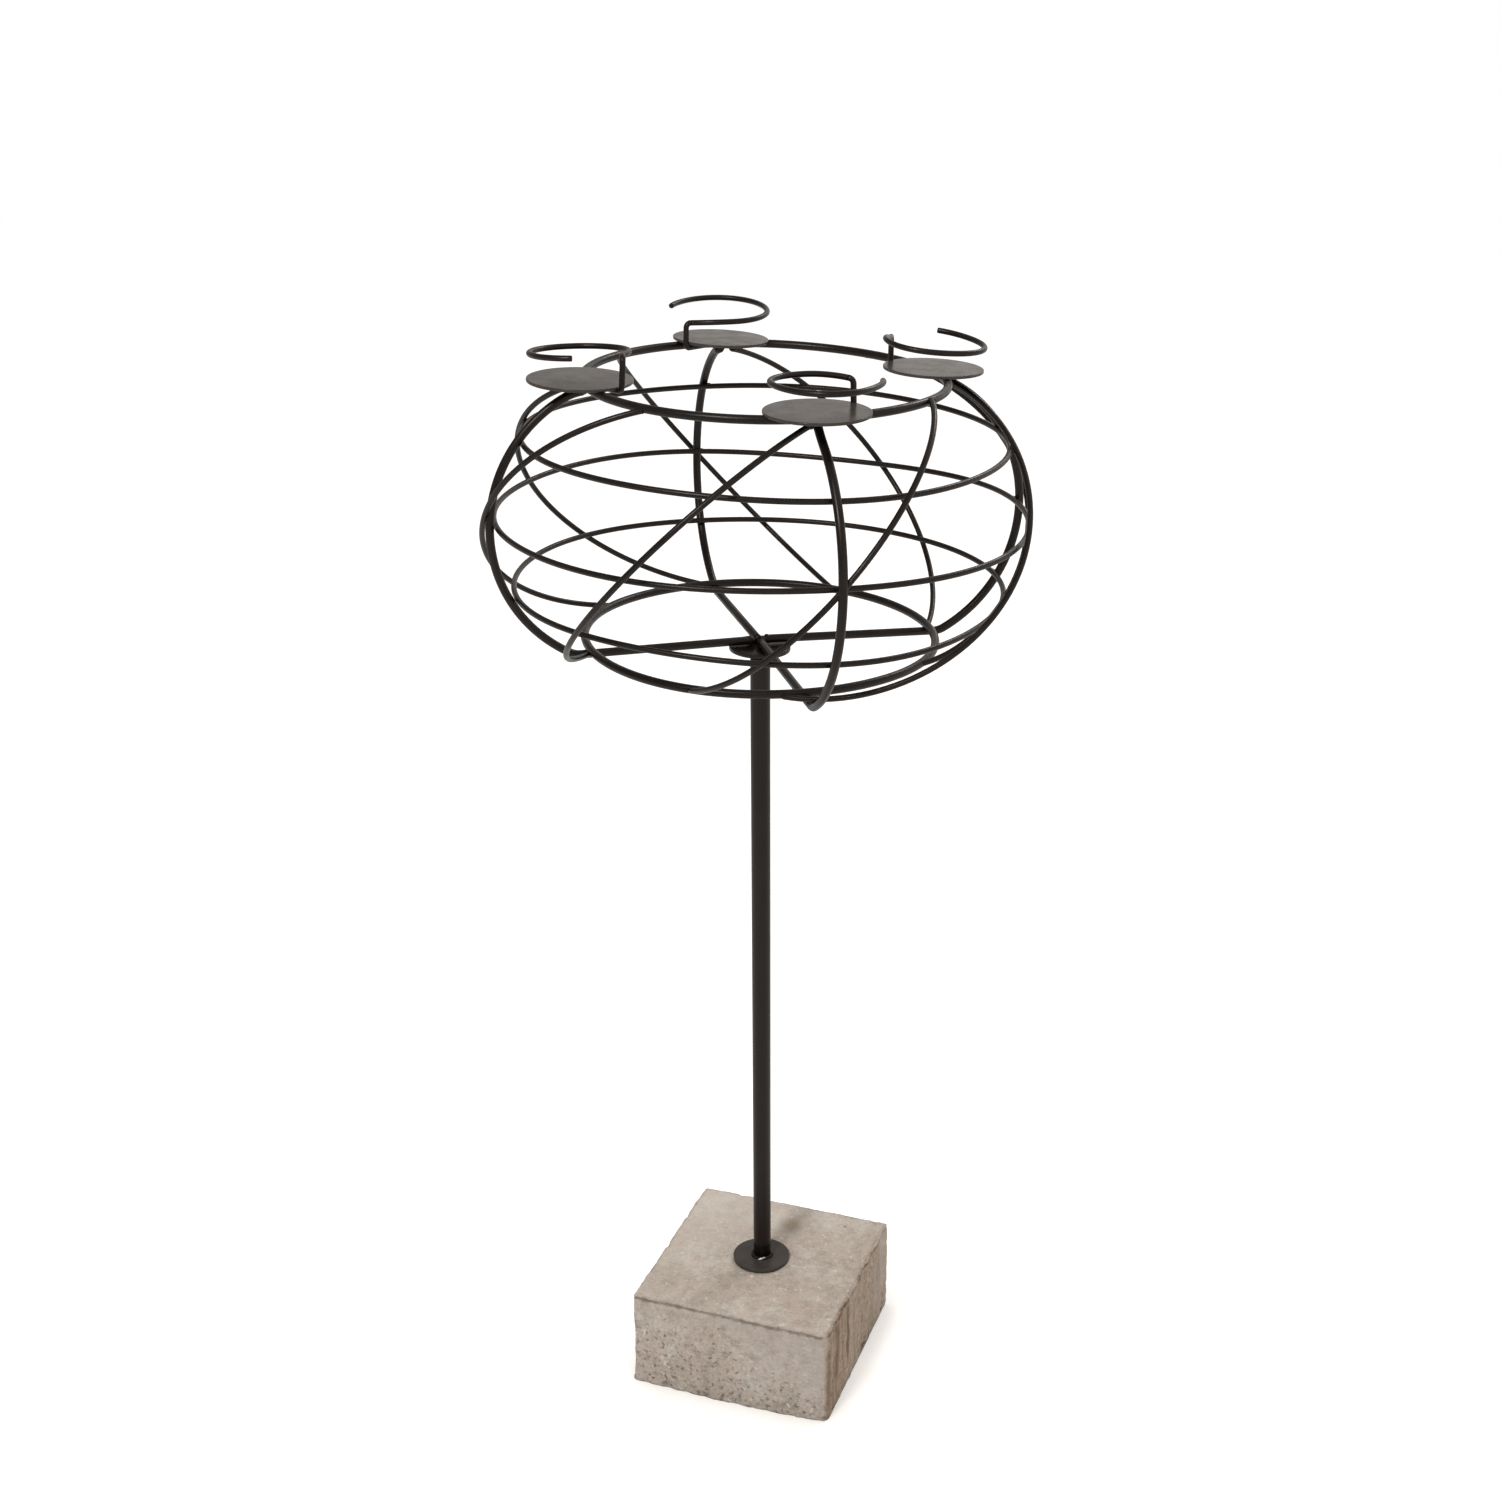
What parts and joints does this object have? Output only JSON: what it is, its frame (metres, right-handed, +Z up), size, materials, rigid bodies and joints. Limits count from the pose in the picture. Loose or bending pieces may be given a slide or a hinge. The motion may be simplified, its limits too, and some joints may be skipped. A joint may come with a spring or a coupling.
{
  "type": "candle stand",
  "caption": "floor candle stand: a round welded wire basket with candle plates and open wire rings on a slim pole set in a concrete paving block",
  "frame": {"origin": "middle of the concrete block's flat underside, on the axis of the pole", "axes": "+Z up along the pole; X and Y along the sides of the block; the picture looks along a direction 20 degrees clockwise from +Y seen from above, and downwards"},
  "size_m": [0.4784, 0.4833, 1.0301],
  "materials": {
    "black_coat": "satin black coating on welded steel",
    "concrete": "rough weathered grey-beige concrete with light grit and small pits",
    "zinc": "dull zinc plating, hidden in the block"
  },
  "bodies": {
    "root": {"base_flange": "black_coat", "bottom_ring": "black_coat", "candle_holder_back": "black_coat", "candle_holder_front": "black_coat", "candle_holder_left": "black_coat", "candle_holder_right": "black_coat", "candle_plate_back": "black_coat", "candle_plate_front": "black_coat", "candle_plate_left": "black_coat", "candle_plate_right": "black_coat", "concrete_block": "concrete", "foot_stud": "zinc", "hub_disc": "black_coat", "hub_weld": "black_coat", "lower_hoop": "black_coat", "middle_hoop": "black_coat", "pole": "black_coat", "pole_foot_weld": "black_coat", "rib_back": "black_coat", "rib_front": "black_coat", "rib_left": "black_coat", "rib_right": "black_coat", "slanting_wire_1": "black_coat", "slanting_wire_2": "black_coat", "slanting_wire_3": "black_coat", "slanting_wire_4": "black_coat", "slanting_wire_5": "black_coat", "slanting_wire_6": "black_coat", "slanting_wire_7": "black_coat", "slanting_wire_8": "black_coat", "threaded_sleeve": "zinc", "top_ring": "black_coat", "upper_hoop": "black_coat"}
  },
  "joints": []
}
